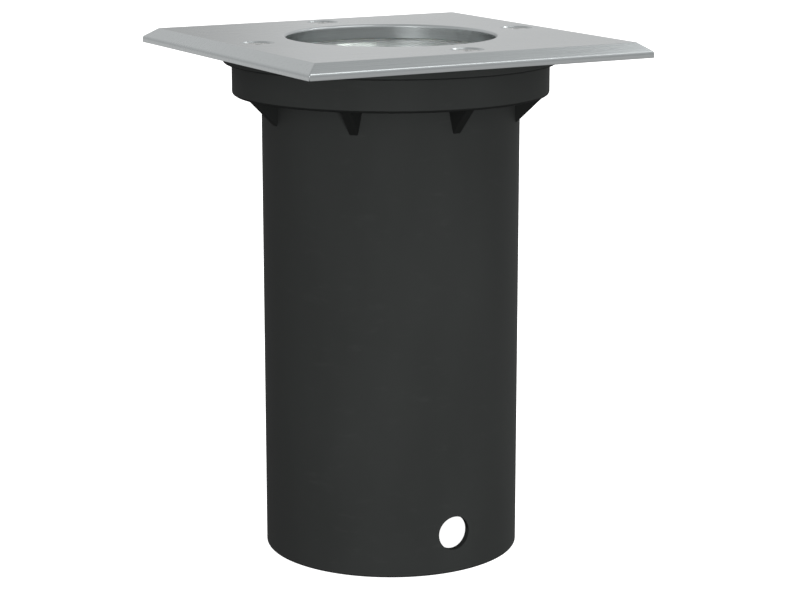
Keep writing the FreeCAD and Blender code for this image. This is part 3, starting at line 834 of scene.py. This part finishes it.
def oneFin():
    # a triangle of plastic from the tube out to the collar, with a root that widens upwards
    size = collarSizes
    bottom = span("sleeve_collar")[0]
    collarBottom = bottom + size["finHeight"]
    rootTop = collarBottom + size["floorThickness"] / 2
    inner = size["tubeRadius"]
    outer = size["radius"] - size["finInset"]
    mesh = bmesh.new()
    sides = [[], []]
    for x, z in ((inner, rootTop), (outer, rootTop), (outer, collarBottom), (inner, bottom)):
        rise = (z - bottom) / size["finHeight"] - (x - inner) / (outer - inner)
        wide = size["finThickness"] / 2 + size["finDraft"] * rise
        sides[0].append(mesh.verts.new(Vector((x, -wide, z)) * mm))
        sides[1].append(mesh.verts.new(Vector((x, wide, z)) * mm))
    mesh.faces.new(sides[0])
    mesh.faces.new(sides[1][::-1])
    bridge(mesh, sides[1], sides[0])
    bmesh.ops.recalc_face_normals(mesh, faces=mesh.faces)
    slanted = [mesh.edges.get(side[2:]) for side in sides]
    bmesh.ops.bevel(mesh, geom=slanted, offset=size["finRound"] * mm, segments=size["finSteps"],
                    profile=0.5, affect="EDGES")
    return asObject("oneFin", mesh)


def sleeveCollar():
    size = collarSizes
    low, top, flangeRadius = span("sleeve_collar")
    bottom = low + size["finHeight"]
    cupFloor = bottom + size["floorThickness"]
    flangeBottom = top - size["flangeThickness"]
    tubeTop = span("sleeve_tube")[1]
    bore = tubeSizes["bore"]
    collar = asObject("sleeveCollar", lathe([
        (size["tubeRadius"], bottom),
        (size["radius"], bottom, size["round"]),
        (size["radius"], flangeBottom),
        (flangeRadius, flangeBottom, size["flangeRound"]),
        (flangeRadius, top, size["flangeRound"]),
        (size["cup"], top, size["flangeRound"]),
        (size["cup"], cupFloor),
        (bore, cupFloor, size["flangeRound"]),
        (bore, tubeTop),
        (size["tubeRadius"], tubeTop),
    ], size["turns"]))
    plastic = finishes["sleeve_plastic"]
    fins = placedRound("fins", oneFin(), size["finCount"], 0, plastic)
    collar = combined("sleeveCollar", collar, fins, "UNION")

    # a boss under each screw, cut off just inside the collar's outer face, then bored
    boss = rod(size["bossRadius"], cupFloor - size["floorThickness"] / 2, top, size["bossTurns"])
    sheath = rod(size["radius"] - size["sheathInset"], bottom - size["sheathDepth"],
                 top - size["sheathDrop"], size["turns"])
    drill = rod(size["bossBore"], top - size["bossBoreDepth"], top + size["borePast"], size["boreTurns"])
    bosses = atScrews("bosses", asObject("boss", boss), plastic)
    bosses = combined("bosses", bosses, asObject("sheath", sheath), "INTERSECT")
    collar = combined("sleeveCollar", collar, bosses, "UNION")
    bores = atScrews("bores", asObject("bore", drill), plastic)
    return combined("sleeveCollar", collar, bores, "DIFFERENCE")


for piece, body, node in (
    (coverPlate(), "cover", "cover_plate"),
    (coverScrews(), "cover", "cover_screws"),
    (glassLens(), "cover", "glass_lens"),
    (sleeveTube(), "sleeve", "sleeve_tube"),
    (sleeveCollar(), "sleeve", "sleeve_collar"),
):
    evenShading(dressed(piece, body, node))
    print(piece.name, len(piece.data.polygons), "faces")


# studio: a pale floor, a soft sky and six lamps; its places and widths are metres

studioSizes = {
    "floorRadius": 12.0,
    "floorSegments": 96,
    "floorGlow": 1.05,
    "lampTarget": (0, 0, 0.12),
}
skySizes = {
    "axis": (0.902, -0.432, 0),  # along the picture, towards its right
    # two tones, and the two heights between which the first turns into the second; 1 is overhead
    "rise": (0.87, 1.12, 0.0, 0.5),
    "ground": (0.1, 1.0, -0.5, -0.16),
    "overhead": (1.0, 0.77, 0.55, 0.8),
    # a darker patch, between two places along the axis and up to a height
    "patchStart": (0.0, 1.0, -0.5, -0.22),
    "patchEnd": (1.0, 0.0, -0.02, 0.03),
    "patchTop": (1.0, 0.0, 0.15, 0.35),
    "patchDepth": 0.51,
    # a trace darker from a place along the axis on, up to a height
    "traceStart": (0.0, 0.08, 0.03, 0.12),
    "traceTop": (1.0, 0.0, 0.3, 0.45),
}
lamps = (
    # name, place, width, depth, watts and the rays that don't meet it
    ("frontLamp", (-0.36, -1.04, 0.06), 0.3, 0.1, 20.0, "visible_glossy"),
    ("leftLamp", (-0.78, -0.62, 0.48), 0.4, 0.4, 1.8, "visible_diffuse"),
    ("topLamp", (0.28, -0.50, 1.20), 0.45, 0.45, 1.6, None),
    ("lineLamp", (0.56, -0.48, 1.11), 0.25, 0.25, 0.95, None),
    ("rightLamp", (0.86, 0.02, 0.97), 0.27, 0.27, 1.4, None),
    ("rimLamp", (0.934, 0.356, 0.10), 0.3, 0.3, 14.0, "visible_glossy"),
)
cameraSizes = {
    "sensor": 36,  # millimetres, as the lens is
    "lens": 102.6,
    "nearest": 0.01,
    "farthest": 50,
    "place": (-0.3246, -0.58175, 0.2238),
    "tilt": 12.657,  # degrees down from level
    "turn": -29.394,  # degrees from facing +Y
}


def floor():
    mesh = bmesh.new()
    bmesh.ops.create_circle(mesh, cap_ends=True, segments=studioSizes["floorSegments"],
                            radius=studioSizes["floorRadius"])
    disc = asObject("floor", mesh)
    glow = studioSizes["floorGlow"]
    paint = Finish("floorPaint", {
        "Roughness": 0.7,
        "Emission Color": (glow, glow, glow, 1),
        "Emission Strength": 1.0,
    })
    tone = paint.noise(paint.place(), 0.004)
    paint.drive("Base Color", paint.ramp(tone, (0.34, 0.34, 0.34), (0.35, 0.35, 0.35)))
    disc.data.materials.append(paint.material)
    disc.visible_diffuse = False  # its glow is seen, but doesn't light the underside of the part
    disc.visible_glossy = False


def studioSky():
    # a grey sky, darkest below the horizon, with a darker patch low down just left of the middle
    size = skySizes
    world = bpy.data.worlds.new("studioSky")
    bpy.context.scene.world = world
    world.use_nodes = True
    sky = Graph(world.node_tree)
    direction = sky.node("ShaderNodeTexCoord", output="Generated")
    height = sky.part(direction, "Z")
    side = sky.node("ShaderNodeVectorMath", {"operation": "DOT_PRODUCT"}, {
        0: direction, 1: size["axis"],
    }, output="Value")
    tone = sky.range(height, *size["rise"]) * sky.range(height, *size["ground"])
    tone = tone * sky.range(height, *size["overhead"])
    patch = sky.range(side, *size["patchStart"]) * sky.range(side, *size["patchEnd"])
    patch = patch * sky.range(height, *size["patchTop"])
    trace = sky.range(side, *size["traceStart"]) * sky.range(height, *size["traceTop"])
    background = world.node_tree.nodes["Background"]
    background.inputs["Color"].default_value = (1, 1, 1, 1)
    sky.link(tone * (1 - patch * size["patchDepth"]) * (1 - trace), background.inputs["Strength"])


def studioLamp(name, place, width, depth, power, hidden):
    lamp = bpy.data.lights.new(name, "AREA")
    lamp.shape = "RECTANGLE"
    lamp.size = width
    lamp.size_y = depth
    lamp.energy = power
    holder = added(name, lamp)
    aim = Vector(studioSizes["lampTarget"]) - Vector(place)
    holder.location = place
    holder.rotation_euler = aim.to_track_quat("-Z", "Y").to_euler()
    holder.visible_camera = False
    if hidden:
        setattr(holder, hidden, False)


def camera():
    # the photograph's side, seen from a little above, with no shift
    size = cameraSizes
    view = bpy.data.cameras.new("camera")
    view.sensor_width = size["sensor"]
    view.lens = size["lens"]
    view.clip_start = size["nearest"]
    view.clip_end = size["farthest"]
    holder = added("camera", view)
    holder.location = size["place"]
    holder.rotation_euler = (math.radians(90 - size["tilt"]), 0, math.radians(size["turn"]))
    bpy.context.scene.camera = holder


floor()
studioSky()
for lamp in lamps:
    studioLamp(*lamp)
camera()
bpy.context.scene.view_settings.view_transform = "Standard"
print("studio ready")
